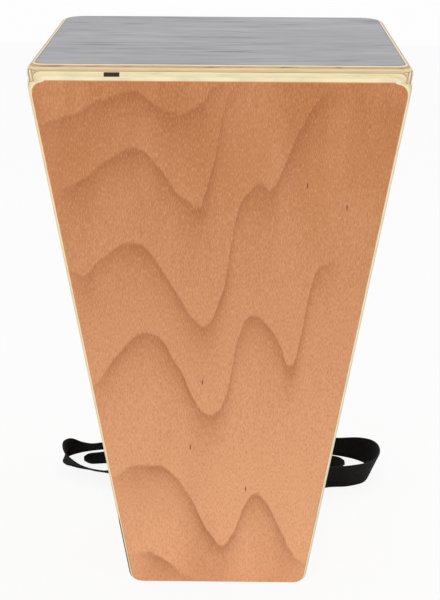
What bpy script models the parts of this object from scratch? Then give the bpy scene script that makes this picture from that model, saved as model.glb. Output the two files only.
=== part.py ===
"""A conga cajon: a tapered plywood box drum, open underneath, with a webbing strap behind its foot.

Metres, +Z up. The drum faces -Y and the origin is the centre of the whole part's base, on the floor.
Every drum piece is a slice of one envelope, the drum's outside with all its rounded edges, so a
rounded edge runs through panels and seams the way a router cuts it on the glued box.
"""

import math

import bmesh
import bpy
from mathutils import Vector

for thing in list(bpy.data.objects):
    bpy.data.objects.remove(thing, do_unlink=True)

# The drum's outside
HEIGHT = 0.500
TOP_WIDTH = 0.310
TOP_DEPTH = 0.280
TAPER = 0.073  # how far each of the four walls has come in at the floor

# Its sheets and battens
GAP = 0.0003  # glue line
TOP_PLATE = 0.0042
FRONT_SHEET = 0.0042
WALL = 0.009
BATTEN = 0.018
BASE_UP = 0.008  # the base cleats stop short of the floor
BATTEN_EDGE = 0.0008

# Its rounded edges
FRONT_ROUND = 0.0110  # along the top's front edge
SIDE_ROUND = 0.0070  # along the top's other three edges
CORNER_FRONT = 0.0035  # upright edges beside the front
CORNER_BACK = 0.0190  # upright edges beside the back
FACE_CORNER = 0.0115  # top corners of the flat front face
TOP_CORNER = 0.0090  # front corners of the flat top face
FOOT_ROUND = 0.0080  # under the two side walls
FRONT_STEPS = 6
BACK_STEPS = 9

# The strap: black webbing
WEB_WIDE = 0.030
WEB_THICK = 0.0017
STRAP_REACH = 0.1745  # how far the ring stands out to each side
TIP_CUT = 0.5  # how far the sealed tip of a tail is rounded off
ANCHOR_UP = 0.031  # height of the screwed-down stretch's middle
ANCHOR_HALF = 0.032
PLATE_HALF = 0.029
PLATE_WIDE = 0.025
PLATE_THICK = 0.0016
PLATE_CORNER = 0.005
SCREW_SPREAD = 0.018
SCREW_R = 0.0019
SCREW_HEAD_R = 0.0042
SCREW_HEAD_HIGH = 0.0022
SCREW_DEEP = 0.0065
SCREW_PLAY = 0.0003

# The strap's side-release buckle, standing on its edge like the webbing
BUCKLE_BACK = 0.147  # behind the back wall's anchor
BUCKLE_WIDE = 0.038
BUCKLE_THICK = 0.009
BUCKLE_REACH = 0.0285  # from the buckle's middle to each webbing bar's outer side
BAR_HALF = 0.0013  # the webbing bar is square, this far from its middle to each face
RAIL = 0.0034
SLOT = 0.0045  # between a webbing bar and the moulding it belongs to
PARTING = 0.008  # where plug and socket meet
POCKET_THICK = 0.0050
POCKET_PLAY = 0.0004
PRONG_WIDE = 0.0030
HOOK = 0.0017

LEAN = math.atan2(TAPER, HEIGHT)


def material(name, colour, roughness, metallic=0.0):
    made = bpy.data.materials.new(name)
    made.use_nodes = True
    shader = made.node_tree.nodes["Principled BSDF"]
    shader.inputs["Base Color"].default_value = (*colour, 1.0)
    shader.inputs["Roughness"].default_value = roughness
    shader.inputs["Metallic"].default_value = metallic
    made.diffuse_color = (*colour, 1.0)
    return made


BEECH = material("beech_veneer", (0.60, 0.27, 0.12), 0.38)
GREY = material("grey_veneer", (0.16, 0.15, 0.15), 0.30)
SPRUCE = material("inside_spruce", (0.74, 0.56, 0.33), 0.60)
WEBBING = material("black_webbing", (0.022, 0.022, 0.024), 0.75)
MOULDED = material("black_nylon", (0.018, 0.018, 0.019), 0.42)
STEEL = material("black_steel", (0.05, 0.05, 0.052), 0.35, 0.9)
ZINC = material("zinc_screw", (0.55, 0.55, 0.56), 0.30, 1.0)


def empty(name, place, parent=None):
    made = bpy.data.objects.new(name, None)
    made.empty_display_size = 0.05
    made.location = place
    made.parent = parent
    bpy.context.scene.collection.objects.link(made)
    return made


def add(name, shape, look, parent=None, origin=(0.0, 0.0, 0.0)):
    """The bmesh as an object whose origin is at a point of its parent's space."""
    bmesh.ops.recalc_face_normals(shape, faces=shape.faces)
    bmesh.ops.translate(shape, verts=shape.verts, vec=-Vector(origin))
    mesh = bpy.data.meshes.new(name)
    shape.to_mesh(mesh)
    shape.free()
    mesh.materials.append(look)
    made = bpy.data.objects.new(name, mesh)
    made.location = origin
    made.parent = parent
    bpy.context.scene.collection.objects.link(made)
    return made


def helper(made):
    made.hide_render = True
    made.display_type = "WIRE"
    return made


def boolean(made, other, operation="DIFFERENCE"):
    step = made.modifiers.new("cut", "BOOLEAN")
    step.operation = operation
    step.solver = "EXACT"
    step.object = helper(other)
    return made


# The envelope


def arc_run(radius, drop):
    """How far a rounded top edge lies inside its wall's own plane, at a drop below the top."""
    if drop >= radius * (1 + math.sin(LEAN)):
        return 0.0
    turned = math.acos(max(-1.0, 1 - drop / radius))
    tangent = radius * math.tan((math.pi / 2 + LEAN) / 2)
    return tangent - radius * math.sin(turned) - drop * math.tan(LEAN)


def foot_run(z):
    """How far a side wall is rounded in near the floor."""
    if z >= FOOT_ROUND:
        return 0.0
    return FOOT_ROUND - math.sqrt(FOOT_ROUND**2 - (FOOT_ROUND - z) ** 2)


FACE_TOP = FRONT_ROUND * (1 + math.sin(LEAN))  # the flat front face starts this far down


def front_corner(drop):
    """The upright front edges: small, but widening near the top to give the face its round corners."""
    if drop < FACE_TOP:
        widest = CORNER_FRONT + FACE_CORNER
        return TOP_CORNER + (widest - TOP_CORNER) * (drop / FACE_TOP) ** 0.6
    above = max(0.0, min(FACE_CORNER, FACE_TOP + FACE_CORNER - drop))
    return CORNER_FRONT + FACE_CORNER - math.sqrt(FACE_CORNER**2 - above**2)


def levels():
    """Heights of the envelope's rings: close together where an edge turns."""
    drops = [FRONT_ROUND * (1 - math.cos(math.radians(a))) for a in (0, 11, 22, 33, 45, 57, 70, 83)]
    drops += [FACE_TOP + FACE_CORNER * (1 - math.cos(math.radians(a))) for a in (0, 30, 48, 66, 90)]
    feet = [FOOT_ROUND * (1 - math.cos(math.radians(a))) for a in (90, 66, 45, 24, 0)]
    return sorted(set(feet) | {HEIGHT - drop for drop in drops})


def corner(x, y, radius, start, steps):
    """An arc that rounds the outline's corner at (x, y), from the angle start, a quarter turn on."""
    inward_x = x - math.copysign(radius, x)
    inward_y = y - math.copysign(radius, y)
    for i in range(steps + 1):
        angle = start + math.pi / 2 * i / steps
        yield inward_x + radius * math.cos(angle), inward_y + radius * math.sin(angle)


def outline(z):
    """The drum's outline at a height, anticlockwise from the middle of its right side's front."""
    drop = HEIGHT - z
    in_by = TAPER * drop / HEIGHT
    side = TOP_WIDTH / 2 - in_by - arc_run(SIDE_ROUND, drop) - foot_run(z)
    back = TOP_DEPTH / 2 - in_by - arc_run(SIDE_ROUND, drop)
    front = TOP_DEPTH / 2 - in_by - arc_run(FRONT_ROUND, drop)
    near = front_corner(drop)
    yield from corner(side, back, CORNER_BACK, 0, BACK_STEPS)
    yield from corner(-side, back, CORNER_BACK, math.pi / 2, BACK_STEPS)
    yield from corner(-side, -front, near, math.pi, FRONT_STEPS)
    yield from corner(side, -front, near, math.pi * 3 / 2, FRONT_STEPS)


def envelope():
    shape = bmesh.new()
    rings = [[shape.verts.new((x, y, z)) for x, y in outline(z)] for z in levels()]
    for low, high in zip(rings, rings[1:]):
        for i in range(len(low)):
            shape.faces.new((low[i - 1], low[i], high[i], high[i - 1]))
    shape.faces.new(reversed(rings[0]))
    shape.faces.new(rings[-1])
    return shape


# The planes that slice it, each with its outward normal and a point on it
SLOPE, DROP = math.cos(LEAN), math.sin(LEAN)
SIDES = {
    "front": (Vector((0, -SLOPE, -DROP)), Vector((0, -TOP_DEPTH / 2, HEIGHT))),
    "back": (Vector((0, SLOPE, -DROP)), Vector((0, TOP_DEPTH / 2, HEIGHT))),
    "left": (Vector((-SLOPE, 0, -DROP)), Vector((-TOP_WIDTH / 2, 0, HEIGHT))),
    "right": (Vector((SLOPE, 0, -DROP)), Vector((TOP_WIDTH / 2, 0, HEIGHT))),
    "up": (Vector((0, 0, 1)), Vector((0, 0, HEIGHT))),
    "down": (Vector((0, 0, -1)), Vector((0, 0, 0))),
}


def slice_off(shape, point, normal):
    """Cuts away what lies on the normal's side of the plane, and closes the cut."""
    everything = shape.verts[:] + shape.edges[:] + shape.faces[:]
    bmesh.ops.bisect_plane(shape, geom=everything, plane_co=point, plane_no=normal, clear_outer=True)
    rim = [edge for edge in shape.edges if edge.is_boundary]
    if rim:
        bmesh.ops.edgeloop_fill(shape, edges=rim)


def drum_piece(name, look, **layers):
    """What the envelope holds between two depths under each named side; None leaves that end whole."""
    shape = envelope()
    for side, (shallow, deep) in layers.items():
        normal, point = SIDES[side]
        if shallow is not None:
            slice_off(shape, point - normal * shallow, normal)
        if deep is not None:
            slice_off(shape, point - normal * deep, -normal)
    bmesh.ops.dissolve_degenerate(shape, edges=shape.edges, dist=1e-5)
    corners = [vert.co for vert in shape.verts]
    low = Vector([min(c[i] for c in corners) for i in range(3)])
    high = Vector([max(c[i] for c in corners) for i in range(3)])
    return add(name, shape, look, DRUM, ((low + high) / 2).to_tuple(5))


def batten(name, **layers):
    made = drum_piece(name, SPRUCE, **layers)
    edge = made.modifiers.new("eased edges", "BEVEL")
    edge.width = BATTEN_EDGE
    edge.segments = 1
    return made


ROOT = empty("conga_cajon", (0, 0, 0))
DRUM = empty("drum", (0, 0, 0), ROOT)

behind_front = FRONT_SHEET + GAP
behind_wall = WALL + GAP
under_top = TOP_PLATE + GAP

drum_piece("top_plate", GREY, front=(behind_front, None), up=(None, TOP_PLATE))
drum_piece("front_panel", BEECH, front=(None, FRONT_SHEET))
back_panel = drum_piece(
    "back_panel",
    BEECH,
    up=(under_top, None),
    back=(None, WALL),
    left=(behind_wall, None),
    right=(behind_wall, None),
)
for hand in ("left", "right"):
    drum_piece(
        f"{hand}_side_panel",
        BEECH,
        up=(under_top, None),
        front=(behind_front, None),
        **{hand: (None, WALL)},
    )

# Battens in the four upright corners, cleats under the top plate and just above the floor
along_front = (behind_front, behind_front + BATTEN)
along_back = (behind_wall, behind_wall + BATTEN)
at_top = (under_top, under_top + BATTEN)
at_base = (BASE_UP, BASE_UP + BATTEN)
for hand in ("left", "right"):
    for end, run in (("front", along_front), ("back", along_back)):
        batten(
            f"corner_batten_{end}_{hand}",
            up=(at_top[1] + GAP, None),
            down=(at_base[1] + GAP, None),
            **{end: run, hand: along_back},
        )
for level, where in (("top", {"up": at_top}), ("base", {"down": at_base})):
    for end, run in (("front", along_front), ("back", along_back)):
        batten(
            f"{level}_cleat_{end}",
            left=(behind_wall, None),
            right=(behind_wall, None),
            **{end: run},
            **where,
        )
    for hand in ("left", "right"):
        batten(
            f"{level}_cleat_{hand}",
            front=(along_front[1] + GAP, None),
            back=(along_back[1] + GAP, None),
            **{hand: along_back},
            **where,
        )

# The strap's anchor, screwed to the back wall near the floor


def back_at(z):
    return TOP_DEPTH / 2 - TAPER * (HEIGHT - z) / HEIGHT


# A frame on the back wall: local X to the right seen from the front, Y out of the wall, Z up the wall
ANCHOR = empty("strap_anchor", (0, back_at(ANCHOR_UP), ANCHOR_UP), DRUM)
ANCHOR.rotation_euler = (-LEAN, 0, 0)


def block(low, high):
    shape = bmesh.new()
    bmesh.ops.create_cube(shape, size=1.0)
    size = Vector(high) - Vector(low)
    bmesh.ops.scale(shape, vec=size, verts=shape.verts)
    bmesh.ops.translate(shape, vec=(Vector(low) + Vector(high)) / 2, verts=shape.verts)
    return shape


def bevel_along(shape, direction, width, segments):
    """Rounds the edges that run along a direction."""
    axis = Vector(direction)
    found = []
    for edge in shape.edges:
        run = (edge.verts[1].co - edge.verts[0].co).normalized()
        if abs(run.dot(axis)) > 0.99:
            found.append(edge)
    bmesh.ops.bevel(shape, geom=found, offset=width, segments=segments, profile=0.5, affect="EDGES")
    return shape


def turned(profile, sides=20):
    """A solid turned about local Y from (radius, height) pairs, bottom to top, both ends closed."""
    shape = bmesh.new()
    rings = []
    for radius, height in profile:
        ring = []
        for i in range(sides):
            angle = 2 * math.pi * i / sides
            place = (radius * math.cos(angle), height, radius * math.sin(angle))
            ring.append(shape.verts.new(place))
        rings.append(ring)
    for low, high in zip(rings, rings[1:]):
        for i in range(sides):
            shape.faces.new((low[i - 1], low[i], high[i], high[i - 1]))
    shape.faces.new(rings[0])
    shape.faces.new(reversed(rings[-1]))
    return shape


web_low = GAP
web_high = web_low + WEB_THICK
plate_low = web_high + GAP
plate_high = plate_low + PLATE_THICK

tab = add(
    "strap_anchor_tab",
    block((-ANCHOR_HALF, web_low, -WEB_WIDE / 2), (ANCHOR_HALF, web_high, WEB_WIDE / 2)),
    WEBBING,
    ANCHOR,
)
plate_shape = block(
    (-PLATE_HALF, plate_low, -PLATE_WIDE / 2), (PLATE_HALF, plate_high, PLATE_WIDE / 2)
)
plate = add(
    "strap_anchor_plate", bevel_along(plate_shape, (0, 1, 0), PLATE_CORNER, 5), STEEL, ANCHOR
)
for hand, x in (("left", -SCREW_SPREAD), ("right", SCREW_SPREAD)):
    head_low = plate_high + GAP
    dome = [
        (SCREW_HEAD_R, head_low),
        (SCREW_HEAD_R, head_low + 0.3 * SCREW_HEAD_HIGH),
        (0.80 * SCREW_HEAD_R, head_low + 0.75 * SCREW_HEAD_HIGH),
        (0.45 * SCREW_HEAD_R, head_low + SCREW_HEAD_HIGH),
    ]
    shank = [(0.35 * SCREW_R, -SCREW_DEEP), (SCREW_R, 0.4 * -SCREW_DEEP), (SCREW_R, head_low)]
    screw = add(f"anchor_screw_{hand}", turned(shank + dome), ZINC, ANCHOR)
    screw.location.x = x
    # The cross recess in the head
    for name, wide, tall in (("recess_a", 0.0044, 0.0009), ("recess_b", 0.0009, 0.0044)):
        low = Vector((-wide / 2, head_low + 0.35 * SCREW_HEAD_HIGH, -tall / 2))
        high = Vector((wide / 2, head_low + 2 * SCREW_HEAD_HIGH, tall / 2))
        recess = add(f"{name}_{hand}", block(low, high), ZINC, ANCHOR)
        recess.location.x = x
        boolean(screw, recess)
    hole_r = SCREW_R + SCREW_PLAY
    hole = add(
        f"screw_hole_{hand}",
        turned([(hole_r, -SCREW_DEEP - SCREW_PLAY), (hole_r, plate_high + 0.002)]),
        STEEL,
        ANCHOR,
    )
    hole.location.x = x
    for drilled in (plate, tab, back_panel):
        boolean(drilled, hole)

# The strap's swing: it folds up from the floor about the anchored stretch's upper edge
MID_WEB = (web_low + web_high) / 2
AXIS_Y = back_at(ANCHOR_UP) + MID_WEB * SLOPE + WEB_WIDE / 2 * DROP
AXIS_Z = ANCHOR_UP - MID_WEB * DROP + WEB_WIDE / 2 * SLOPE
START = Vector((0, back_at(ANCHOR_UP) + MID_WEB * SLOPE, ANCHOR_UP - MID_WEB * DROP))
STRAP = empty("strap_swing", (0, AXIS_Y, AXIS_Z), DRUM)
AXIS = Vector((0, AXIS_Y, AXIS_Z))
BUCKLE = Vector((0, START.y + BUCKLE_BACK, BUCKLE_WIDE / 2))


def eased(t):
    t = max(0.0, min(1.0, t))
    return t * t * (3 - 2 * t)


def through(rows, steps):
    """A smooth run through rows of numbers, as a Catmull-Rom spline on each number."""
    padded = [[2 * a - b for a, b in zip(rows[0], rows[1])], *rows]
    padded.append([2 * a - b for a, b in zip(rows[-1], rows[-2])])
    for a, b, c, d in zip(padded, padded[1:], padded[2:], padded[3:]):
        for i in range(steps):
            t = i / steps
            yield [
                0.5 * (2 * q + t * (r - p) + t * t * (2 * p - 5 * q + 4 * r - s)
                       + t**3 * (3 * q - p - 3 * r + s))
                for p, q, r, s in zip(a, b, c, d)
            ]
    yield list(rows[-1])


def strap_half(name, hand, bend, tail):
    """One half of the strap, a flat ribbon that stands on the floor on its edge.

    hand is -1 or 1. bend and tail are rows of (x, y, tip): how far to the side and behind the
    anchor, and how far the upper edge tips over to the left of the way the ribbon runs, in degrees.
    The ribbon leaves the anchor, follows bend, turns round the buckle's bar and ends in a loose tail.
    """
    bar_x = BUCKLE_REACH - BAR_HALF
    turn_r = BAR_HALF * math.sqrt(2) + GAP + WEB_THICK / 2
    out_y = START.y
    lift = ANCHOR_UP - WEB_WIDE / 2 * SLOPE
    rows = [[ANCHOR_HALF + GAP, 0.0, math.degrees(LEAN), lift]]
    for i, (x, y, tip) in enumerate(bend):
        rows.append([x, y, tip, lift * max(0.0, 1 - (i + 1) / 3)])
    buckle_y = BUCKLE.y - out_y
    buckle_lift = (BUCKLE_WIDE - WEB_WIDE) / 2
    rows.append([bar_x + 0.024, buckle_y + turn_r, 4.0, buckle_lift])
    rows.append([bar_x + 0.006, buckle_y + turn_r, 0.0, buckle_lift])
    path = list(through(rows, 5))
    for i in range(9):
        angle = math.pi * i / 8
        path.append([
            bar_x - turn_r * math.sin(angle), buckle_y + turn_r * math.cos(angle), 0.0, buckle_lift
        ])
    back = [[bar_x + 0.006, buckle_y - turn_r, 0.0, buckle_lift]]
    back += [[x, y, tip, 0.0] for x, y, tip in tail]
    path += list(through(back, 5))
    frames = []
    for i, (x, y, tip, lift) in enumerate(path):
        before, after = path[max(i - 1, 0)], path[min(i + 1, len(path) - 1)]
        run = Vector((after[0] - before[0], after[1] - before[1], 0)).normalized()
        if i == 0:
            run = Vector((1, 0, 0))
        inward = Vector((-run.y, run.x, 0))
        tipped = math.radians(tip)
        up = inward * math.sin(tipped) + Vector((0, 0, math.cos(tipped)))
        flat = run.cross(up)
        high = abs(up.z) * WEB_WIDE / 2 + abs(flat.z) * WEB_THICK / 2
        frames.append((Vector((x, out_y + y, max(lift, 0.0) + high)), up, flat))
    # The outer bend is stretched so that its outermost edge is at STRAP_REACH
    widest = max(abs(centre.x) + abs(up.x) * WEB_WIDE / 2 + abs(flat.x) * WEB_THICK / 2
                 for centre, up, flat in frames)
    inner = 2 * ANCHOR_HALF
    shape = bmesh.new()
    rings = []
    last = len(frames) - 1
    for i, (centre, up, flat) in enumerate(frames):
        share = eased((centre.x - inner) / (widest - inner))
        centre.x += (STRAP_REACH - widest) * share
        # The cut end is heat-sealed with rounded corners
        half = WEB_WIDE / 2 * (1 - TIP_CUT * max(0.0, 1 - (last - i) / 3) ** 2)
        ring = []
        for a, b in ((-1, -1), (1, -1), (1, 1), (-1, 1)):
            place = centre + up * a * half + flat * b * WEB_THICK / 2
            ring.append(shape.verts.new((hand * place.x, place.y, place.z)))
        rings.append(ring)
    for low, high in zip(rings, rings[1:]):
        for i in range(4):
            shape.faces.new((low[i - 1], low[i], high[i], high[i - 1]))
    shape.faces.new(reversed(rings[0]))
    shape.faces.new(rings[-1])
    bmesh.ops.triangulate(shape, faces=shape.faces)
    made = add(name, shape, WEBBING, DRUM, AXIS)
    made.parent = STRAP
    made.location = (0, 0, 0)
    return made


# Where the ring lies, read from the photograph: its two ends show beside the drum
strap_half(
    "strap_right", 1,
    bend=[
        (0.056, 0.006, 0), (0.084, 0.032, -8), (0.112, 0.054, -18), (0.138, 0.059, -18),
        (0.158, 0.070, -20), (0.167, 0.091, -22), (0.167, 0.112, -14), (0.155, 0.125, 6),
        (0.129, 0.134, 26), (0.090, 0.144, 24),
    ],
    tail=[(0.060, 0.128, -18), (0.095, 0.110, -34), (0.122, 0.101, -42), (0.136, 0.098, -42)],
)
strap_half(
    "strap_left", -1,
    bend=[
        (0.056, 0.010, -4), (0.086, 0.050, -40), (0.118, 0.075, -62), (0.142, 0.084, -60),
        (0.160, 0.093, -42), (0.169, 0.106, -12), (0.168, 0.119, 22), (0.157, 0.129, 44),
        (0.138, 0.137, 52), (0.100, 0.146, 40),
    ],
    tail=[(0.060, 0.130, -18), (0.098, 0.112, -34), (0.132, 0.104, -42), (0.149, 0.102, -42)],
)

# The buckle. Its mouldings are symmetrical about the strap's middle plane
BUCKLE_AT = BUCKLE - AXIS


def moulding(name, shape):
    made = add(name, shape, MOULDED, STRAP)
    made.location = BUCKLE_AT
    return made


def buckle_cut(made, name, low, high):
    cutter = moulding(name, block(low, high))
    boolean(made, cutter)


def webbing_end(made, name, side):
    """Cuts the slot and thins the bar that the webbing turns round, on one side of the buckle."""
    bar = BUCKLE_REACH - 2 * BAR_HALF
    inside = BUCKLE_WIDE / 2 - RAIL
    clear = BUCKLE_THICK
    spans = {
        "slot": ((bar - SLOT, bar), (-clear, clear)),
        "bar_back": ((bar - SLOT, BUCKLE_REACH + 0.002), (BAR_HALF, clear)),
        "bar_front": ((bar - SLOT, BUCKLE_REACH + 0.002), (-clear, -BAR_HALF)),
    }
    for label, ((x0, x1), (y0, y1)) in spans.items():
        low_x, high_x = sorted((side * x0, side * x1))
        buckle_cut(made, f"{name}_{label}", (low_x, y0, -inside), (high_x, y1, inside))


half_wide, half_thick = BUCKLE_WIDE / 2, BUCKLE_THICK / 2
pocket_z = half_wide - RAIL
pocket_y = POCKET_THICK / 2
pocket_end = -(BUCKLE_REACH - 2 * BAR_HALF - SLOT - 0.0035)

shell = block((-BUCKLE_REACH, -half_thick, -half_wide), (PARTING, half_thick, half_wide))
bevel_along(shell, (0, 1, 0), 0.004, 4)
socket = moulding("buckle_socket", shell)
buckle_cut(
    socket, "pocket", (pocket_end, -pocket_y, -pocket_z), (PARTING + 0.002, pocket_y, pocket_z)
)
window = (pocket_end + 0.0045, PARTING - 0.0075)
buckle_cut(
    socket, "window", (window[0], -pocket_y, -half_wide - 0.002), (window[1], pocket_y, half_wide + 0.002)
)
webbing_end(socket, "socket", -1)

grip = block((PARTING + GAP, -half_thick, -half_wide), (BUCKLE_REACH, half_thick, half_wide))
bevel_along(grip, (0, 1, 0), 0.004, 4)
plug = moulding("buckle_plug", grip)


def fork():
    """The plug's flat fork, as its outline pulled to a thickness: two hooked prongs and a guide."""
    root = PARTING + 0.004
    tip = pocket_end + 0.0012
    outer = pocket_z - POCKET_PLAY
    inner = outer - PRONG_WIDE
    hook = (window[0] + POCKET_PLAY, window[1] - POCKET_PLAY)
    half = [
        (root, outer), (hook[1], outer), (hook[1], outer + HOOK), (hook[0] + 0.004, outer + HOOK),
        (hook[0], outer), (tip, outer - 0.0016), (tip, inner), (PARTING - 0.002, inner),
        (PARTING - 0.002, 0.0032), (tip + 0.003, 0.0022),
    ]
    points = half + [(x, -z) for x, z in reversed(half)]
    thick = pocket_y - POCKET_PLAY
    shape = bmesh.new()
    face = shape.faces.new([shape.verts.new((x, -thick, z)) for x, z in points])
    pulled = bmesh.ops.extrude_face_region(shape, geom=[face])
    moved = [part for part in pulled["geom"] if isinstance(part, bmesh.types.BMVert)]
    bmesh.ops.translate(shape, verts=moved, vec=(0, 2 * thick, 0))
    return shape


boolean(plug, moulding("fork", fork()), "UNION")
webbing_end(plug, "plug", 1)

# The origin: the middle of the base of everything that is part of the drum
bpy.context.view_layer.update()
seen = [part for part in bpy.data.objects if part.type == "MESH" and not part.hide_render]
back_edge = max((part.matrix_world @ vert.co).y for part in seen for vert in part.data.vertices)
front_edge = min((part.matrix_world @ vert.co).y for part in seen for vert in part.data.vertices)
ROOT.location = (0, -(back_edge + front_edge) / 2, 0)
bpy.context.view_layer.update()
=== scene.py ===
# %% [markdown]
# A conga cajon is a tall plywood box drum, wide at the top and narrow at the floor, that the player
# holds between the knees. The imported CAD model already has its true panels, so this script keeps
# those panels, gives each a finish worked out from how plywood is made, and rebuilds only what is
# soft: the black webbing strap that lies behind the drum's foot.

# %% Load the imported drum
import math

import bmesh
import bpy
from mathutils import Matrix, Vector


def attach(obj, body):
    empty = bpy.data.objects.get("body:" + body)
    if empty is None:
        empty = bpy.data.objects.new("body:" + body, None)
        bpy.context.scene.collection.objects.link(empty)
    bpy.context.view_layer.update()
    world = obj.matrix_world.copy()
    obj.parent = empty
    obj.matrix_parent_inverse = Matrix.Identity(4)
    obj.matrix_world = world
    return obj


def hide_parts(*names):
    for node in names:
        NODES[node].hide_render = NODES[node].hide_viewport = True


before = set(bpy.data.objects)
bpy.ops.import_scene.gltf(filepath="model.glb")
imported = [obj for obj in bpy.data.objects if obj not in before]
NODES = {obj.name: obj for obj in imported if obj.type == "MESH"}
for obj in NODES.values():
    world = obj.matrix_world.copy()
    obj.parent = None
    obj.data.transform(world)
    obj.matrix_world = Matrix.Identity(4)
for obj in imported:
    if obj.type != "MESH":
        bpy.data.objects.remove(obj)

for startup in ("Cube", "Camera", "Light"):
    if startup in bpy.data.objects:
        bpy.data.objects.remove(bpy.data.objects[startup], do_unlink=True)
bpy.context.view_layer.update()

# %% [markdown]
# The camera comes first, because every finish is judged through it. Its place and its long lens
# were solved from the drum's own straight edges, which run to a vanishing point well below the
# floor. The drum stands a little in front of the part's origin, because the strap is behind it.

# %% The camera
HEIGHT, TOP_WIDTH, TOP_DEPTH, TAPER = 0.500, 0.310, 0.280, 0.073
DRUM_Y = -0.0453  # the drum's own middle, in front of the part's
LEAN = math.atan2(TAPER, HEIGHT)
SLOPE, DROP = math.cos(LEAN), math.sin(LEAN)
FOCAL_PX, LONG_SIDE_PX, SENSOR_MM = 1461.0, 600, 36.0
CAMERA_AT = Vector((0.010, -1.282 + DRUM_Y, 0.704))
PITCH, YAW, ROLL = math.radians(19.18), math.radians(0.44), math.radians(0.33)


def aim(place, pitch, yaw, roll):
    """A camera's matrix, looking along +Y when all its angles are nought."""
    turn = Matrix.Rotation(yaw, 3, "Z")
    ahead = turn @ Vector((0, math.cos(pitch), -math.sin(pitch)))
    up = turn @ Vector((0, math.sin(pitch), math.cos(pitch)))
    right = turn @ Vector((1, 0, 0))
    across = math.cos(roll) * right + math.sin(roll) * up
    upward = math.cos(roll) * up - math.sin(roll) * right
    made = Matrix((across, upward, -ahead)).transposed().to_4x4()
    made.translation = place
    return made


camera = bpy.data.objects.new("camera", bpy.data.cameras.new("camera"))
bpy.context.scene.collection.objects.link(camera)
camera.data.sensor_width = SENSOR_MM
camera.data.lens = FOCAL_PX * SENSOR_MM / LONG_SIDE_PX
camera.matrix_world = aim(CAMERA_AT, PITCH, YAW, ROLL)
bpy.context.scene.camera = camera
print("camera lens", round(camera.data.lens, 2), "mm")

# %% [markdown]
# Every finish below is a sum: how deep a point lies in the plywood, how far it is from a line of
# the figure, how wavy the grain is. Written as nodes by hand such sums are hard to read, so one
# small class lets a shader socket take part in ordinary Python arithmetic, and one method of a
# second class makes any other node. Colours are written as they look on a screen, 0 to 255.

# %% Colours as they look on a screen
def shade(red, green, blue):
    """A screen colour as the linear colour that a shader takes."""
    linear = []
    for part in (red, green, blue):
        share = part / 255
        linear.append(share / 12.92 if share <= 0.04045 else ((share + 0.055) / 1.055) ** 2.4)
    return (*linear, 1.0)


print("middle grey 128 is", round(shade(128, 128, 128)[0], 3), "to the shader")


# %% Shader sums as Python expressions
class Wire:
    """A number that varies over the surface: a socket that Python operators work on."""

    def __init__(self, nodes, socket):
        self.nodes = nodes
        self.socket = socket

    def maths(self, operation, *others):
        """A Math node on this number and the others, in that order."""
        values = dict(enumerate((self, *others)))
        return self.nodes.node("Math", {"operation": operation}, values)

    def __add__(self, other):
        return self.maths("ADD", other)

    def __sub__(self, other):
        return self.maths("SUBTRACT", other)

    def __rsub__(self, other):
        return self.nodes.node("Math", {"operation": "SUBTRACT"}, {0: other, 1: self})

    def __mul__(self, other):
        return self.maths("MULTIPLY", other)

    def __truediv__(self, other):
        return self.maths("DIVIDE", other)

    __radd__ = __add__
    __rmul__ = __mul__

    def limited(self):
        """Cut off below 0 and above 1."""
        made = self.maths("ADD", 0.0)
        made.socket.node.use_clamp = True
        return made

    def between(self, low, high):
        """0 below low, 1 above high, and straight in between."""
        return ((self - low) / (high - low)).limited()


class Nodes:
    """A shader's node tree. One method adds any node to it."""

    def __init__(self, tree):
        self.tree = tree

    def node(self, kind, settings=None, values=None, output=0):
        """Any shader node: its settings first, then the values or links of its sockets."""
        made = self.tree.nodes.new("ShaderNode" + kind)
        for name, value in (settings or {}).items():
            setattr(made, name, value)
        for key, value in (values or {}).items():
            self.feed(made.inputs[key], value)
        return made if output is None else Wire(self, made.outputs[output])

    def feed(self, socket, value):
        """Links a socket to what varies, or sets it to what doesn't."""
        if isinstance(value, Wire):
            self.tree.links.new(value.socket, socket)
        else:
            socket.default_value = value


print("a Wire has + - * /, maths, limited and between")


# %% A finish: one material and its patterns
class Finish(Nodes):
    """One material, built from expressions. Its Principled shader takes the results."""

    def __init__(self, name):
        self.material = bpy.data.materials.new(name)
        self.material.use_nodes = True
        super().__init__(self.material.node_tree)
        self.shader = self.tree.nodes["Principled BSDF"]
        self.place = self.node("TexCoord", output="Object")
        parts = self.node("SeparateXYZ", {}, {0: self.place}, output=None)
        self.x, self.z = Wire(self, parts.outputs["X"]), Wire(self, parts.outputs["Z"])

    def mix(self, low, high, share):
        """A colour between two, by a share from 0 to 1."""
        settings = {"data_type": "RGBA", "clamp_factor": True}
        return self.node("Mix", settings, {0: share, 6: low, 7: high}, output=2)

    def noise(self, scales, detail=2.0, shift=0.0):
        """A cloudy pattern from 0 to 1, with its own scale along each axis."""
        settings = {"operation": "MULTIPLY_ADD"}
        stretched = self.node(
            "VectorMath", settings, {0: self.place, 1: scales, 2: (shift, 0.3 * shift, 0.7 * shift)}
        )
        return self.node("TexNoise", {}, {"Vector": stretched, "Scale": 1.0, "Detail": detail})

    def depth_under(self, normal, point):
        """How many millimetres a place lies behind a flat face."""
        inward = [-1000 * part for part in normal]
        along = self.node("VectorMath", {"operation": "DOT_PRODUCT"}, {0: self.place, 1: inward}, 1)
        return along - Vector(inward).dot(Vector(point))

    def finish(self, colour, roughness, height, strength, distance=0.0001, **fixed):
        """The material, its relief distance metres deep. fixed sets other sockets by name."""
        self.feed(self.shader.inputs["Base Color"], colour)
        self.feed(self.shader.inputs["Roughness"], roughness)
        for name, value in fixed.items():
            self.shader.inputs[name.replace("_", " ")].default_value = value
        relief = {"Height": height, "Strength": strength, "Distance": distance}
        self.feed(self.shader.inputs["Normal"], self.node("Bump", {}, relief))
        return self.material


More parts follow.
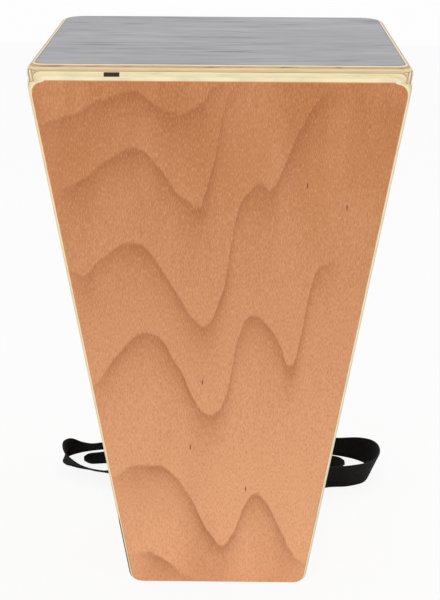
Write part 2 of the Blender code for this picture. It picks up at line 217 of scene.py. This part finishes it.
def dress(look, *names):
    """Gives carried-over CAD pieces a finish."""
    for name in names:
        NODES[name].material_slots[0].material = look
    print(look.name, "on", ", ".join(names))


print("a finish sets a Principled shader's colour, roughness and relief")

# %% [markdown]
# Plywood is a stack of thin veneers glued crosswise. Where a router has rounded the edge, the cut
# runs slantwise through the stack, so each veneer shows as a band whose width depends on the
# slope. Painting bands along the edge would get those widths wrong. Here the colour comes from the
# depth behind the panel's flat face, so the real roundover in the mesh draws the bands by itself.

# %% Plywood by depth
PLY_WAVE = 0.10  # how far a veneer's surface waves, in millimetres
WAVE_FROM, WAVE_TO = 0.08, 0.40  # the wave sets in over this depth, so the face itself stays clean
PLY_SOFT = 0.04  # half the width of a change between veneers
PLY_GRAIN = 0.80  # how bright a veneer's darkest streaks are


def ply(finish, depth, skin_deep, skin, layers, streaks):
    """The skin's colour down to so many millimetres, then each layer (down to how many, colour)."""
    wave = (finish.noise((60, 60, 60), detail=3.0, shift=5.0) - 0.5) * PLY_WAVE
    at = depth + wave * depth.between(WAVE_FROM, WAVE_TO)
    grain = finish.noise(streaks, detail=3.0, shift=2.0).between(0.45, 0.80)
    colour, start = skin, skin_deep
    for end, tone in layers:
        darker = (*(PLY_GRAIN * part for part in tone[:3]), 1.0)
        soft = min(PLY_SOFT, 0.4 * start)
        reached = at.between(start - soft, start + soft)
        colour = finish.mix(colour, finish.mix(tone, darker, grain), reached)
        start = end
    return colour


print("veneers wave by", PLY_WAVE, "mm")

# %% The drum's flat faces, each its outward direction and a point on it
FRONT_FACE = (Vector((0, -SLOPE, -DROP)), Vector((0, DRUM_Y - TOP_DEPTH / 2, HEIGHT)))
BACK_FACE = (Vector((0, SLOPE, -DROP)), Vector((0, DRUM_Y + TOP_DEPTH / 2, HEIGHT)))
LEFT_FACE = (Vector((-SLOPE, 0, -DROP)), Vector((-TOP_WIDTH / 2, DRUM_Y, HEIGHT)))
RIGHT_FACE = (Vector((SLOPE, 0, -DROP)), Vector((TOP_WIDTH / 2, DRUM_Y, HEIGHT)))
TOP_FACE = (Vector((0, 0, 1)), Vector((0, 0, HEIGHT)))
print("every wall leans", round(math.degrees(LEAN), 2), "degrees")

# %% The tones of the veneers under the skin
CREAM = shade(255, 243, 204)
LIGHT_PLY = shade(232, 206, 160)
BROWN_PLY = shade(196, 165, 122)
GLUE_LINE = shade(228, 158, 98)
print("cream", [round(part, 2) for part in CREAM[:3]])

# %% [markdown]
# The playing face is rotary-cut beech. Peeling a log that isn't quite straight leaves a figure of
# stacked chevrons: each has a crisp dark upper edge and fades away below. The chevrons are drawn
# as curves of height against width, read as plain lines, and the finish darkens by how far a point
# lies under each. Over them go the short upright flecks that mark beech, and a few dark pips.

# %% The figure's lines, in millimetres on the face
FIGURE = [
    [(-142, 452), (-118, 462), (-92, 474), (-64, 480), (-52, 470), (-36, 463), (-14, 470),
     (-2, 486)],
    [(-130, 397), (-107, 409), (-88, 426), (-64, 431), (-44, 409), (-28, 388), (-16, 382),
     (-12, 392), (-4, 423), (12, 486)],
    [(-124, 323), (-113, 319), (-100, 335), (-74, 351), (-58, 342), (-45, 319), (-33, 296),
     (-20, 277), (-12, 272), (1, 296), (11, 352), (17, 384), (25, 397), (35, 403), (41, 397),
     (53, 419), (64, 449), (87, 482)],
    [(-108, 212), (-94, 235), (-68, 264), (-55, 262), (-38, 238), (-21, 198), (-12, 186),
     (-3, 186), (6, 203), (18, 263), (27, 282), (37, 278), (53, 254), (62, 234), (70, 259),
     (83, 325), (93, 330)],
    [(-91, 119), (-80, 127), (-62, 130), (-44, 125), (-30, 103), (-17, 76), (-3, 48), (4, 42),
     (13, 54), (25, 87), (34, 100), (43, 93), (57, 60), (77, 26)],
    [(-73, 30), (-63, 33), (-45, 24), (-31, 7)],
]
PIPS = [(105, 382), (72, 401), (-14, 216), (-25, 149), (25, 105)]
print(len(FIGURE), "chevron lines,", len(PIPS), "pips")

# %% A chevron line as a float curve
FACE_HALF = 0.160  # a little more than half the face's width
MM = 0.001


def line_height(finish, points):
    """How high one chevron line runs over each place, in metres."""
    made = finish.node("FloatCurve", output=None)
    run = made.mapping.curves[0]
    left, right = (-FACE_HALF / MM, points[0][1]), (FACE_HALF / MM, points[-1][1])
    places = [left, *points, right]
    while len(run.points) < len(places):
        run.points.new(0.5, 0.5)
    for dot, (across, up) in zip(run.points, places):
        dot.location = ((across * MM + FACE_HALF) / (2 * FACE_HALF), up * MM / HEIGHT)
        dot.handle_type = "AUTO"
    made.mapping.update()
    finish.feed(made.inputs["Factor"], 1.0)
    finish.feed(made.inputs["Value"], (finish.x + FACE_HALF) / (2 * FACE_HALF))
    return Wire(finish, made.outputs[0]) * HEIGHT


print("longest line has", max(len(points) for points in FIGURE), "points")

# %% The chevrons' shading
BAND_FADE = 0.020  # how far a chevron's shading reaches down
BAND_DRIFT = 0.014  # how far its line wavers
BAND_EDGE = (-0.0012, 0.0020)  # where its upper edge darkens, from above the line to below it
END_OUTSIDE, END_INSIDE = 0.012, 0.016  # where a line's end fades, outside and inside the end


def chevrons(finish):
    """How dark the figure makes each place, 0 to 1."""
    drift = (finish.noise((40, 40, 30), detail=4.0, shift=7.0) - 0.5) * BAND_DRIFT
    patch = finish.noise((22, 22, 22), detail=2.0, shift=6.0)
    dark = None
    for points in FIGURE:
        under = line_height(finish, points) + drift - finish.z
        fade = (under / -BAND_FADE).maths("EXPONENT") * (0.55 + patch * 0.9)
        low, high = points[0][0] * MM, points[-1][0] * MM
        window = finish.x.between(low - END_OUTSIDE, low + END_INSIDE)
        window = window * (1 - finish.x.between(high - END_INSIDE, high + END_OUTSIDE))
        band = under.between(*BAND_EDGE) * fade.limited() * window
        dark = band if dark is None else dark.maths("MAXIMUM", band)
    return dark


print("chevrons fade over", round(BAND_FADE / MM), "mm")

# %% Beech and its flecks
BEECH_LOW = shade(253, 186, 138)
BEECH_HIGH = shade(198, 127, 76)
BEECH_CLOUD = shade(226, 158, 112)
BEECH_FIGURE = shade(168, 97, 48)
FLECK_DARK = shade(172, 104, 60)
FLECK_LIGHT = shade(250, 194, 146)
PALE_UP_TO, WARM_FROM = 0.03, 0.47  # heights in metres
FLECK_SCALE = (1600, 1600, 240)  # flecks stand upright, about 4 mm tall and under 1 mm wide
CLOUD_SHARE, FIGURE_SHARE, DARK_SHARE, LIGHT_SHARE = 0.55, 0.68, 0.40, 0.28


def beech(finish, figure=None):
    """Beech veneer: warm at the top, paler towards the floor, flecked all over."""
    base = finish.mix(BEECH_LOW, BEECH_HIGH, finish.z.between(PALE_UP_TO, WARM_FROM))
    cloud = finish.noise((26, 26, 7), detail=3.0, shift=1.0)
    base = finish.mix(base, BEECH_CLOUD, cloud.between(0.45, 0.75) * CLOUD_SHARE)
    if figure is not None:
        base = finish.mix(base, BEECH_FIGURE, figure * FIGURE_SHARE)
    fleck = finish.noise(FLECK_SCALE, detail=3.0, shift=3.0)
    base = finish.mix(base, FLECK_DARK, fleck.between(0.46, 0.70) * DARK_SHARE)
    base = finish.mix(base, FLECK_LIGHT, (1 - fleck.between(0.30, 0.50)) * LIGHT_SHARE)
    return base, fleck


front = Finish("figured beech front")
skin, fleck = beech(front, chevrons(front))
print(front.material.name, "has", len(front.tree.nodes), "nodes so far")

# %% Pips in the beech
PIP_WIDE, PIP_TALL = 0.0007, 0.0030
PIP_FULL = 1.3  # above 1, so that a pip's middle is fully dark
for across, up in PIPS:
    sideways = (front.x - across * MM) / PIP_WIDE
    upward = (front.z - up * MM) / PIP_TALL
    pip = (PIP_FULL - sideways * sideways - upward * upward).limited()
    skin = front.mix(skin, shade(112, 66, 42), pip * 0.8)
print(len(PIPS), "pips,", round(2 * PIP_TALL * math.sqrt(PIP_FULL) / MM, 1), "mm tall")

# %% The front sheet's veneers, and the small void in one of them, whose hollow is painted dark as shade
FRONT_SKIN = 0.02  # in millimetres, so the glue line shows as soon as the edge rounds over
FRONT_LAYERS = [
    (0.12, GLUE_LINE), (0.78, CREAM), (2.40, shade(246, 230, 184)),
    (2.90, shade(252, 240, 205)), (3.50, BROWN_PLY), (4.40, LIGHT_PLY),
]
VOID_X, VOID_HALF = -0.0853, 0.0065  # its middle along the edge, and half its length
VOID_FROM, VOID_TO = (0.70, 0.85), (2.5, 2.7)  # how deep it starts and ends, in millimetres

face_depth = front.depth_under(*FRONT_FACE)
edge = ply(front, face_depth, FRONT_SKIN, skin, FRONT_LAYERS, (40, 900, 40))
void_painted_shade = 1 - ((front.x - VOID_X) / VOID_HALF).maths("ABSOLUTE").between(0.92, 1.0)
void_painted_shade = void_painted_shade * face_depth.between(*VOID_FROM) * (1 - face_depth.between(*VOID_TO))
# painted shade: the mesh has no hollow at the void, so its darkness is painted here as a near-black
# over the reddish brown of the wood inside it
edge = front.mix(edge, shade(44, 12, 4), void_painted_shade)
satin = {"roughness": 0.48, "height": fleck, "strength": 0.10, "Specular_IOR_Level": 0.3}
dress(front.finish(edge, **satin), "front_panel")

# %% [markdown]
# The side and back panels are the same beech seen on its long grain, without the chevrons. They
# are thicker, with more veneers, which show where the back's big round corners cut through them.

# %% Side and back panels
WALL_SKIN, WALL_VENEER = 0.25, 1.46  # in millimetres
WALL_LAYERS = []
for number in range(1, 7):
    tone = CREAM if number % 2 else BROWN_PLY
    WALL_LAYERS.append((WALL_SKIN + WALL_VENEER * number, tone))


def wall(name, face, node):
    """Beech plywood on one outer panel."""
    look = Finish(name)
    tone, marks = beech(look)
    depth = look.depth_under(*face)
    stack = ply(look, depth, WALL_SKIN, tone, WALL_LAYERS, (300, 300, 40))
    dress(look.finish(stack, roughness=0.38, height=marks, strength=0.10), node)


wall("beech back", BACK_FACE, "back_panel")
wall("beech left side", LEFT_FACE, "left_side_panel")
wall("beech right side", RIGHT_FACE, "right_side_panel")

# %% [markdown]
# The struck top is stained grey. Its grain runs from side to side and the stain sits unevenly in
# it, so it shows as long faint streaks. The stain is only skin deep: as the edge rounds over, the
# pale and brown veneers underneath appear, starting with a thin dark line where the stain ends.

# %% The grey stain
top = Finish("grey stained top")
drop = top.depth_under(*TOP_FACE)
streak = top.noise((26, 460, 460), detail=4.0, shift=2.0)
group = top.noise((11, 90, 90), detail=3.0, shift=9.0)
pale = top.noise((7, 30, 30), detail=2.0, shift=14.0)
grey = top.mix(shade(134, 132, 135), shade(164, 162, 166), streak.between(0.30, 0.72))
grey = top.mix(grey, shade(98, 95, 98), group.between(0.46, 0.66) * streak.between(0.54, 0.34))
grey = top.mix(grey, shade(172, 171, 175), pale.between(0.50, 0.72) * 0.6)
grey = top.mix(grey, shade(104, 98, 96), drop.between(0.004, 0.03) * 0.8)
print(top.material.name, "has", len(top.tree.nodes), "nodes so far")

# %% The top plate's veneers, with brown marks in the middle one
TOP_SKIN = 0.14  # the depths here are in millimetres too
TOP_LAYERS = [(0.63, shade(244, 226, 188)), (1.90, BROWN_PLY), (4.40, shade(238, 212, 166))]
MARKS_FROM, MARKS_TO = (0.8, 1.0), (1.5, 1.8)

stack = ply(top, drop, TOP_SKIN, grey, TOP_LAYERS, (40, 900, 900))
marks = top.noise((55, 400, 400), detail=2.0, shift=8.0).between(0.55, 0.63)
marks = marks * drop.between(*MARKS_FROM) * (1 - drop.between(*MARKS_TO))
stack = top.mix(stack, shade(120, 84, 50), marks * 0.8)
satin = {"roughness": 0.42, "height": streak, "strength": 0.12, "Specular_IOR_Level": 0.35}
dress(top.finish(stack, **satin), "top_plate")

# %% [markdown]
# Inside, softwood battens back the glued corners. Spruce shows straight lines of dark late wood
# along each stick, so its pattern is stretched along whichever way the stick runs.

# %% Spruce battens
ACROSS_GRAIN, ALONG_GRAIN = 420, 9
STICKS = {
    "upright": (2, ("corner_batten",)),
    "sideways": (0, ("cleat_front", "cleat_back")),
    "front to back": (1, ("cleat_left", "cleat_right")),
}
for way, (axis, kinds) in STICKS.items():
    names = [name for name in NODES if any(kind in name for kind in kinds)]
    scales = [ACROSS_GRAIN] * 3
    scales[axis] = ALONG_GRAIN
    stick = Finish("spruce " + way)
    lines = stick.noise(scales, detail=2.0, shift=4.0)
    wood = stick.mix(shade(226, 200, 152), shade(190, 150, 96), lines.between(0.50, 0.72))
    sawn = stick.finish(wood, roughness=0.62, height=lines, strength=0.25, distance=0.0002)
    dress(sawn, *names)

# %% [markdown]
# The strap is webbing, woven in fine ribs across its width. Its path is the CAD route, repeated
# here: out from the anchor, round in a wide bend that stands on its edge, about the buckle's bar
# and back as a loose tail. A Geometry Nodes tree sweeps a rounded flat section along that path and
# keeps how far along and how far across each place is, which the weave then reads.

# %% The strap's sizes
WEB_WIDE, WEB_THICK, GAP = 0.030, 0.0017, 0.0003
STRAP_REACH, ANCHOR_UP, ANCHOR_HALF = 0.1745, 0.031, 0.032
BUCKLE_BACK, BUCKLE_WIDE, BUCKLE_REACH, BAR_HALF = 0.147, 0.038, 0.0285, 0.0013
BEND_STEPS, TURN_STEPS = 8, 16
MID_WEB = GAP + WEB_THICK / 2
WALL_Y = DRUM_Y + TOP_DEPTH / 2 - TAPER * (HEIGHT - ANCHOR_UP) / HEIGHT
START = Vector((0, WALL_Y + MID_WEB * SLOPE, ANCHOR_UP - MID_WEB * DROP))
print("webbing", round(WEB_WIDE / MM), "mm wide, leaves the wall at y", round(START.y, 4))

# %% Where it lies: to the side, behind the anchor, and how far its upper edge tips, in degrees
RIGHT_BEND = [
    (0.056, 0.006, 0), (0.084, 0.032, -8), (0.112, 0.054, -18), (0.138, 0.059, -18),
    (0.158, 0.070, -20), (0.167, 0.091, -22), (0.167, 0.112, -14), (0.155, 0.125, 6),
    (0.129, 0.134, 26), (0.090, 0.144, 24),
]
RIGHT_TAIL = [(0.060, 0.128, -18), (0.095, 0.110, -34), (0.122, 0.101, -42), (0.136, 0.098, -42)]
LEFT_BEND = [
    (0.056, 0.010, -4), (0.086, 0.050, -40), (0.118, 0.075, -62), (0.142, 0.084, -60),
    (0.160, 0.093, -42), (0.169, 0.106, -12), (0.168, 0.119, 22), (0.157, 0.129, 44),
    (0.138, 0.137, 52), (0.100, 0.146, 40),
]
LEFT_TAIL = [(0.060, 0.130, -18), (0.098, 0.112, -34), (0.132, 0.104, -42), (0.149, 0.102, -42)]
print(len(RIGHT_BEND) + len(LEFT_BEND), "points round the bends")


# %% A smooth run through those points
def eased(share):
    """A share from 0 to 1 with a soft start and a soft end."""
    share = max(0.0, min(1.0, share))
    return share * share * (3 - 2 * share)


def through(rows, steps):
    """A smooth run through rows of numbers, as a Catmull-Rom spline on each number."""
    padded = [[2 * a - b for a, b in zip(rows[0], rows[1])], *rows]
    padded.append([2 * a - b for a, b in zip(rows[-1], rows[-2])])
    for a, b, c, d in zip(padded, padded[1:], padded[2:], padded[3:]):
        for i in range(steps):
            t = i / steps
            yield [
                0.5 * (2 * q + t * (r - p) + t * t * (2 * p - 5 * q + 4 * r - s)
                       + t**3 * (3 * q - p - 3 * r + s))
                for p, q, r, s in zip(a, b, c, d)
            ]
    yield list(rows[-1])


print("a stretch between two points is", BEND_STEPS, "steps")


# %% The middle line of each half
LIFTED_ROWS = 3  # it comes down from the anchor to the floor over so many points
LEAD_IN, LEAD_TIP = 0.024, 4.0  # how far before the bar it heads for it, and its tip there
BAR_NEAR = 0.006  # how far from the bar it stands upright, before and after the turn


def strap_line(bend, tail):
    """(x, y, tip, lift) along one half: the bend, the turn about the buckle's bar, the tail."""
    bar_x = BUCKLE_REACH - BAR_HALF
    turn_r = BAR_HALF * math.sqrt(2) + GAP + WEB_THICK / 2
    lift = ANCHOR_UP - WEB_WIDE / 2 * SLOPE
    rows = [[ANCHOR_HALF + GAP, 0.0, math.degrees(LEAN), lift]]
    for i, (x, y, tip) in enumerate(bend):
        rows.append([x, y, tip, lift * max(0.0, 1 - (i + 1) / LIFTED_ROWS)])
    buckle_lift = (BUCKLE_WIDE - WEB_WIDE) / 2
    rows.append([bar_x + LEAD_IN, BUCKLE_BACK + turn_r, LEAD_TIP, buckle_lift])
    rows.append([bar_x + BAR_NEAR, BUCKLE_BACK + turn_r, 0.0, buckle_lift])
    path = list(through(rows, BEND_STEPS))
    for i in range(TURN_STEPS + 1):
        angle = math.pi * i / TURN_STEPS
        x = bar_x - turn_r * math.sin(angle)
        path.append([x, BUCKLE_BACK + turn_r * math.cos(angle), 0.0, buckle_lift])
    back = [[bar_x + BAR_NEAR, BUCKLE_BACK - turn_r, 0.0, buckle_lift]]
    back += [[x, y, tip, 0.0] for x, y, tip in tail]
    return path + list(through(back, BEND_STEPS))


LINES = {
    "right": strap_line(RIGHT_BEND, RIGHT_TAIL),
    "left": strap_line(LEFT_BEND, LEFT_TAIL),
}
print({hand: len(line) for hand, line in LINES.items()}, "places along each half")


# %% The webbing's place and twist along that line
def strap_route(hand, path):
    """(centre, direction across the thickness) along one half, standing on the floor."""
    frames = []
    for i, (x, y, tip, lift) in enumerate(path):
        before, after = path[max(i - 1, 0)], path[min(i + 1, len(path) - 1)]
        run = Vector((after[0] - before[0], after[1] - before[1], 0)).normalized()
        if i == 0:
            run = Vector((1, 0, 0))
        inward = Vector((-run.y, run.x, 0))
        tipped = math.radians(tip)
        up = inward * math.sin(tipped) + Vector((0, 0, math.cos(tipped)))
        flat = run.cross(up)
        high = abs(up.z) * WEB_WIDE / 2 + abs(flat.z) * WEB_THICK / 2
        frames.append((Vector((x, START.y + y, max(lift, 0.0) + high)), up, flat))
    widest = max(abs(centre.x) + abs(up.x) * WEB_WIDE / 2 + abs(flat.x) * WEB_THICK / 2
                 for centre, up, flat in frames)
    inner = 2 * ANCHOR_HALF
    mirror = Vector((hand, 1, 1))
    route = []
    for centre, _, flat in frames:
        centre.x += (STRAP_REACH - widest) * eased((centre.x - inner) / (widest - inner))
        route.append((centre * mirror, flat * mirror))
    return route


ROUTES = {"right": strap_route(1, LINES["right"]), "left": strap_route(-1, LINES["left"])}
for hand, route in ROUTES.items():
    length = sum((b[0] - a[0]).length for a, b in zip(route, route[1:]))
    print(hand, "half of the strap is", round(length / MM), "mm long")


# %% Woven webbing
RIB, WARP = 0.0016, 0.0022  # from one rib to the next, and from one bundle of yarns to the next
EDGE_FROM, EDGE_TO = 0.0125, 0.0145  # the thicker woven edge, from the webbing's middle
WEAVE_DEEP = 0.0004


def weave():
    """Fine ribs crossed by the warp, with a thicker edge, read from the webbing's attributes."""
    look = Finish("black woven webbing")
    along = look.node("Attribute", {"attribute_name": "along"}, {}, output="Fac")
    across = look.node("Attribute", {"attribute_name": "across"}, {}, output="Fac")
    rib = (along * (2 * math.pi / RIB)).maths("SINE") * 0.5 + 0.5
    warp = (across * (2 * math.pi / WARP)).maths("SINE") * 0.5 + 0.5
    fuzz = look.noise((900, 900, 900), detail=2.0)
    edge = across.maths("ABSOLUTE").between(EDGE_FROM, EDGE_TO)
    height = rib * (0.55 + warp * 0.45) + edge * 0.5
    # painted highlight: where rib and warp rise, the black webbing is painted lighter, as light
    # catching the crests; the hollows between them stay darkest
    colour = look.mix(shade(7, 7, 8), shade(24, 24, 26), rib * warp * 0.7)
    colour = look.mix(colour, shade(20, 20, 22), fuzz.between(0.4, 0.8) * 0.4)
    woven = {"roughness": 0.76 - rib * 0.10, "height": height, "strength": 0.55}
    return look.finish(colour, distance=WEAVE_DEEP, Specular_IOR_Level=0.22, **woven)


WOVEN = weave()
print("weave:", len(WOVEN.node_tree.nodes), "nodes")


# %% A tree that sweeps webbing along a route
def webbing_tree(look):
    """Mesh edges to a curve, its own flat direction kept, and a rounded section along it."""
    tree = bpy.data.node_groups.new("webbing along a route", "GeometryNodeTree")
    tree.interface.new_socket("Geometry", in_out="INPUT", socket_type="NodeSocketGeometry")
    for name in ("Width", "Thickness", "Edge Rounding"):
        tree.interface.new_socket(name, in_out="INPUT", socket_type="NodeSocketFloat")
    tree.interface.new_socket("Geometry", in_out="OUTPUT", socket_type="NodeSocketGeometry")
    made = {}

    def add(label, kind, settings=None, values=None):
        """A node under a label. A value (label, output) links to a node that is already there."""
        node = tree.nodes.new(kind)
        for name, value in (settings or {}).items():
            setattr(node, name, value)
        for key, value in (values or {}).items():
            if isinstance(value, tuple) and value[0] in made:
                tree.links.new(made[value[0]].outputs[value[1]], node.inputs[key])
            else:
                node.inputs[key].default_value = value
        made[label] = node

    add("in", "NodeGroupInput")
    add("route", "GeometryNodeMeshToCurve", {}, {"Mesh": ("in", "Geometry")})
    add("flat", "GeometryNodeInputNamedAttribute", {"data_type": "FLOAT_VECTOR"}, {"Name": "flat"})
    add("normal", "GeometryNodeSetCurveNormal", {"mode": "FREE"},
        {"Curve": ("route", "Curve"), "Normal": ("flat", "Attribute")})
    add("thin", "GeometryNodeInputNamedAttribute", {"data_type": "FLOAT"}, {"Name": "narrowing"})
    add("spline", "GeometryNodeSplineParameter")
    add("along", "GeometryNodeStoreNamedAttribute", {"data_type": "FLOAT", "domain": "POINT"},
        {"Geometry": ("normal", "Curve"), "Name": "along", "Value": ("spline", "Length")})
    add("section", "GeometryNodeCurvePrimitiveQuadrilateral", {},
        {"Width": ("in", "Thickness"), "Height": ("in", "Width")})
    add("rounded", "GeometryNodeFilletCurve", {"mode": "POLY"},
        {"Curve": ("section", "Curve"), "Radius": ("in", "Edge Rounding"), "Count": 3})
    add("place", "GeometryNodeInputPosition")
    add("parts", "ShaderNodeSeparateXYZ", {}, {0: ("place", "Position")})
    add("across", "GeometryNodeStoreNamedAttribute", {"data_type": "FLOAT", "domain": "POINT"},
        {"Geometry": ("rounded", "Curve"), "Name": "across", "Value": ("parts", "Y")})
    add("sweep", "GeometryNodeCurveToMesh", {},
        {"Curve": ("along", "Geometry"), "Profile Curve": ("across", "Geometry"),
         "Scale": ("thin", "Attribute"), "Fill Caps": True})
    add("real", "GeometryNodeRealizeInstances", {}, {"Geometry": ("sweep", "Mesh")})
    add("look", "GeometryNodeSetMaterial", {}, {"Geometry": ("real", "Geometry"), "Material": look})
    add("out", "NodeGroupOutput", {}, {"Geometry": ("look", "Geometry")})
    return tree


WEBBING_TREE = webbing_tree(WOVEN)
print("webbing tree:", len(WEBBING_TREE.nodes), "nodes")

# %% The tails' sealed tips
TIP_ROUND = 0.011  # the heat-sealed tip of a tail is rounded over this length
TIP_LEAST = 0.35  # how much of the webbing's width is left at the very end


def narrowing_of(route, sealed):
    """The share of its full width that the webbing has at each place: less at a sealed tip."""
    tail_starts = len(route) - len(route) // 4
    shares = []
    for i, (centre, _) in enumerate(route):
        left = (route[-1][0] - centre).length
        cut = max(0.0, 1 - left / TIP_ROUND)
        rounded = max(TIP_LEAST, math.sqrt(1 - cut * cut))
        shares.append(rounded if sealed and i >= tail_starts else 1.0)
    return shares


for hand, route in ROUTES.items():
    narrowed = [share for share in narrowing_of(route, True) if share < 1]
    print(hand, "tip is rounded over", len(narrowed), "places")


# %% A route as a guide mesh, and its webbing as a plain mesh
WELD = 1e-6  # points closer than this become one
SHARP_FROM = math.radians(45)


def guide_of(name, route, sealed):
    """A chain of edges that carries what the tree reads."""
    guide = bpy.data.meshes.new(name + " route")
    chain = [(i, i + 1) for i in range(len(route) - 1)]
    guide.from_pydata([centre for centre, _ in route], chain, [])
    flats = guide.attributes.new("flat", "FLOAT_VECTOR", "POINT")
    flats.data.foreach_set("vector", [part for _, flat in route for part in flat])
    narrowing = guide.attributes.new("narrowing", "FLOAT", "POINT")
    narrowing.data.foreach_set("value", narrowing_of(route, sealed))
    return guide


def sweep_webbing(name, route, sizes, sealed=False):
    """A closed webbing mesh along a route of (centre, flat) pairs."""
    holder = bpy.data.objects.new(name, guide_of(name, route, sealed))
    bpy.context.scene.collection.objects.link(holder)
    step = holder.modifiers.new("sweep", "NODES")
    step.node_group = WEBBING_TREE
    for item in WEBBING_TREE.interface.items_tree:
        if item.item_type == "SOCKET" and item.in_out == "INPUT" and item.name in sizes:
            step[item.identifier] = sizes[item.name]
    graph = bpy.context.evaluated_depsgraph_get()
    mesh = bpy.data.meshes.new_from_object(holder.evaluated_get(graph))
    holder.modifiers.remove(step)
    bpy.data.objects.remove(holder, do_unlink=True)
    shape = bmesh.new()
    shape.from_mesh(mesh)
    bmesh.ops.remove_doubles(shape, verts=shape.verts, dist=WELD)
    bmesh.ops.recalc_face_normals(shape, faces=shape.faces)
    shape.to_mesh(mesh)
    shape.free()
    mesh.shade_smooth()
    mesh.set_sharp_from_angle(angle=SHARP_FROM)
    piece = bpy.data.objects.new(name, mesh)
    bpy.context.scene.collection.objects.link(piece)
    print(name, len(mesh.polygons), "faces")
    return piece


# %% The strap's two halves
WEBBING = {"Width": WEB_WIDE, "Thickness": WEB_THICK, "Edge Rounding": 0.0006}
for hand, route in ROUTES.items():
    half = sweep_webbing(f"strap_webbing_{hand}", route, WEBBING, sealed=True)
    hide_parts(f"strap_{hand}")
    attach(half, "strap")

# %% The stretch under the anchor's plate
OUT_OF_WALL = BACK_FACE[0]
TAB_STEPS = 8
tab_route = []
for i in range(TAB_STEPS + 1):
    x = ANCHOR_HALF * (2 * i / TAB_STEPS - 1)
    tab_route.append((Vector((x, START.y, START.z)), OUT_OF_WALL))
tab = sweep_webbing("anchor_webbing", tab_route, WEBBING)
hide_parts("strap_anchor_tab")
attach(tab, "drum")

# %% [markdown]
# The buckle is moulded nylon with the fine matt grain of its mould. The anchor's plate is pressed
# steel with a black coat, and its two screws are zinc plated, bright with a fine grain. Each is a
# noise that shifts the colour a little and the roughness and relief with it.

# %% Moulded nylon
nylon = Finish("black moulded nylon")
spark = nylon.noise((1800, 1800, 1800), detail=2.0)
tone = nylon.mix(shade(20, 20, 21), shade(34, 34, 36), spark.between(0.4, 0.7))
moulded = nylon.finish(tone, roughness=0.44 + spark * 0.12, height=spark, strength=0.35)
dress(moulded, "buckle_socket", "buckle_plug")

# %% Coated steel
coat = Finish("black coated steel")
peel = coat.noise((700, 700, 700), detail=2.0)
tone = coat.mix(shade(38, 38, 40), shade(56, 56, 58), peel.between(0.35, 0.7))
eggshell = {"roughness": 0.34 + peel * 0.12, "height": peel, "strength": 0.30}
dress(coat.finish(tone, Metallic=0.5, **eggshell), "strap_anchor_plate")

# %% Bright zinc
zinc = Finish("bright zinc")
grain = zinc.noise((2400, 300, 2400), detail=3.0)
tone = zinc.mix(shade(176, 177, 180), shade(206, 207, 210), grain)
plated = {"roughness": 0.24 + grain * 0.14, "height": grain, "strength": 0.20}
dress(zinc.finish(tone, Metallic=1.0, **plated), "anchor_screw_left", "anchor_screw_right")

# %% [markdown]
# A plain studio: a pale floor, a white world and broad soft lamps. The world looks almost pure
# white to the camera and in reflections, and gives a weaker fill light to everything else.

# %% The floor
FLOOR_HALF, FLOOR_UNDER = 3.0, 0.0002  # half its width, and how far it lies below the drum
FLOOR_GLOW = 0.90  # how much of it the camera sees as plain white, the rest with the shadow
floor_mesh = bpy.data.meshes.new("floor")
corners = [(-1, -1), (1, -1), (1, 1), (-1, 1)]
places = [(FLOOR_HALF * x, FLOOR_HALF * y, -FLOOR_UNDER) for x, y in corners]
floor_mesh.from_pydata(places, [], [(0, 1, 2, 3)])
floor = bpy.data.objects.new("floor", floor_mesh)
bpy.context.scene.collection.objects.link(floor)

paper = Finish("white paper floor")
paper.feed(paper.shader.inputs["Base Color"], (0.9, 0.9, 0.9, 1))
paper.feed(paper.shader.inputs["Roughness"], 0.9)
seen = paper.node("LightPath", output="Is Camera Ray")
glow = paper.node("Emission", {}, {"Color": (1, 1, 1, 1)})
shaded = Wire(paper, paper.shader.outputs[0])
both = paper.node("MixShader", {}, {0: seen * FLOOR_GLOW, 1: shaded, 2: glow})
paper.feed(paper.tree.nodes["Material Output"].inputs["Surface"], both)
floor_mesh.materials.append(paper.material)
print("floor", 2 * FLOOR_HALF, "m across")

# %% The world: white where it is seen, plain fill light elsewhere
FILL_LIGHT = 0.62
BACKDROP = (0.985, 0.985, 0.985, 1)
world = bpy.data.worlds.new("studio")
bpy.context.scene.world = world
world.use_nodes = True
sky = Nodes(world.node_tree)
fill = sky.node("Background", {}, {"Color": (1, 1, 1, 1), "Strength": FILL_LIGHT})
white = sky.node("Background", {}, {"Color": BACKDROP, "Strength": 1.0})
rays = ("Is Camera Ray", "Is Glossy Ray", "Is Transmission Ray")
camera_ray, glossy_ray, through_ray = (sky.node("LightPath", output=ray) for ray in rays)
shown = camera_ray.maths("MAXIMUM", glossy_ray).maths("MAXIMUM", through_ray)
both = sky.node("MixShader", {}, {0: shown, 1: fill, 2: white})
sky.feed(sky.tree.nodes["World Output"].inputs["Surface"], both)
print("fill light", FILL_LIGHT)

# %% The lamps: place and width in metres, power in watts
LAMPS = {
    "front lamp": ((-0.9, -2.2, 1.5), 1.6, 13.0),
    "side lamp": ((1.8, -1.2, 1.6), 1.2, 7.0),
    "overhead lamp": ((0.2, 0.5, 2.2), 1.4, 7.0),
}
for name, (place, size, power) in LAMPS.items():
    light = bpy.data.lights.new(name, "AREA")
    light.size = size
    light.energy = power
    lamp = bpy.data.objects.new(name, light)
    lamp.location = place
    aimed = Vector((0, DRUM_Y, HEIGHT / 2)) - Vector(place)
    lamp.rotation_euler = aimed.to_track_quat("-Z", "Y").to_euler()
    bpy.context.scene.collection.objects.link(lamp)
bpy.context.scene.view_settings.view_transform = "Standard"
print(len(LAMPS), "lamps")

# %% The end
bpy.context.view_layer.update()
